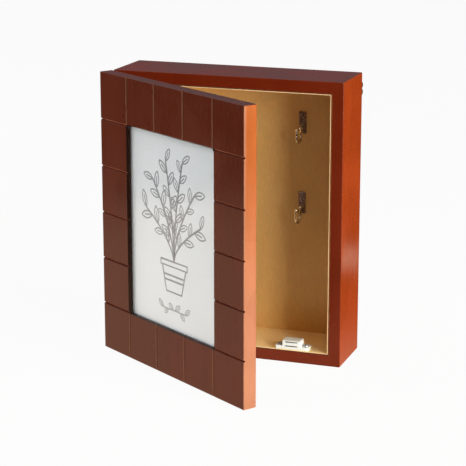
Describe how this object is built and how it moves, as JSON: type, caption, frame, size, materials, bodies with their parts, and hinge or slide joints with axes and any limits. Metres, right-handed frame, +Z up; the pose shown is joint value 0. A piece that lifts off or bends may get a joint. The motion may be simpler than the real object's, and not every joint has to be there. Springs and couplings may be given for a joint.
{
  "type": "key cabinet",
  "caption": "Shallow wooden wall cabinet for keys: hooks inside on a gold lining, and a hinged tile-grooved door with a picture window and a magnetic catch.",
  "frame": {"origin": "centre of the cabinet's underside", "axes": "+Z up, the open front and the door face -Y, the wall side faces +Y, and the hinges are on the -X side"},
  "size_m": [0.2126, 0.1857, 0.246],
  "materials": {
    "door_stain": "dark mahogany stain, satin lacquer",
    "board_stain": "red mahogany stain, satin lacquer",
    "back_fibreboard": "bare hardboard",
    "backing_fibreboard": "bare hardboard",
    "gold_lining": "thin board faced with fine gold paper",
    "hook_bronze": "antique bronze, rubbed bright on the wire",
    "catch_white": "white moulded plastic",
    "magnet": "sintered ferrite, matt",
    "bright_steel": "zinc-plated steel",
    "hanger_steel": "bronzed steel",
    "hinge_brass": "brushed brass",
    "button_steel": "nickel-plated steel",
    "window_glass": "clear picture glass",
    "card_print": "smooth printed card"
  },
  "bodies": {
    "cabinet": {"back_panel": "back_fibreboard", "bottom_board": "board_stain", "cabinet_hinge_screws": "hinge_brass", "cabinet_leaf_lower": "hinge_brass", "cabinet_leaf_upper": "hinge_brass", "catch_housing": "catch_white", "catch_magnet": "magnet", "catch_pole_lower": "bright_steel", "catch_pole_upper": "bright_steel", "catch_screws": "bright_steel", "hanger_plate_left": "hanger_steel", "hanger_plate_right": "hanger_steel", "hanger_screws": "hanger_steel", "hinge_pin_lower": "hinge_brass", "hinge_pin_upper": "hinge_brass", "hook_pins": "hook_bronze", "hook_plate_1": "hook_bronze", "hook_plate_2": "hook_bronze", "hook_plate_3": "hook_bronze", "hook_plate_4": "hook_bronze", "hook_plate_5": "hook_bronze", "hook_plate_6": "hook_bronze", "key_hook_1": "hook_bronze", "key_hook_2": "hook_bronze", "key_hook_3": "hook_bronze", "key_hook_4": "hook_bronze", "key_hook_5": "hook_bronze", "key_hook_6": "hook_bronze", "lining_back": "gold_lining", "lining_bottom": "gold_lining", "lining_left": "gold_lining", "lining_right": "gold_lining", "lining_top": "gold_lining", "side_left": "board_stain", "side_right": "board_stain", "top_board": "board_stain"},
    "door": {"door_frame": "door_stain", "glass_pane": "window_glass", "picture_card": "card_print", "backing_board": "backing_fibreboard", "strike_plate": "bright_steel", "strike_screws": "bright_steel", "door_leaf_lower": "hinge_brass", "door_leaf_upper": "hinge_brass", "door_hinge_screws": "hinge_brass", "turn_button_screws": "button_steel"},
    "turn_button_1": {"turn_button_1": "button_steel"},
    "turn_button_2": {"turn_button_2": "button_steel"},
    "turn_button_3": {"turn_button_3": "button_steel"},
    "turn_button_4": {"turn_button_4": "button_steel"}
  },
  "joints": [
    {"name": "door_hinge", "type": "hinge", "parent": "cabinet", "child": "door", "pos_m": [-0.10465, -0.0289, 0.123], "axis": [0, 0, -1], "range_deg": [-34, 146]},
    {"name": "turn_button_1_pivot", "type": "hinge", "parent": "door", "child": "turn_button_1", "pos_m": [-0.07948, -0.04998, 0.173], "axis": [0.5592, 0.829, 0], "range_deg": [-90, 90]},
    {"name": "turn_button_2_pivot", "type": "hinge", "parent": "door", "child": "turn_button_2", "pos_m": [0.0399, -0.1305, 0.173], "axis": [0.5592, 0.829, 0], "range_deg": [-90, 90]},
    {"name": "turn_button_3_pivot", "type": "hinge", "parent": "door", "child": "turn_button_3", "pos_m": [-0.07948, -0.04998, 0.073], "axis": [0.5592, 0.829, 0], "range_deg": [-90, 90]},
    {"name": "turn_button_4_pivot", "type": "hinge", "parent": "door", "child": "turn_button_4", "pos_m": [0.0399, -0.1305, 0.073], "axis": [0.5592, 0.829, 0], "range_deg": [-90, 90]}
  ]
}
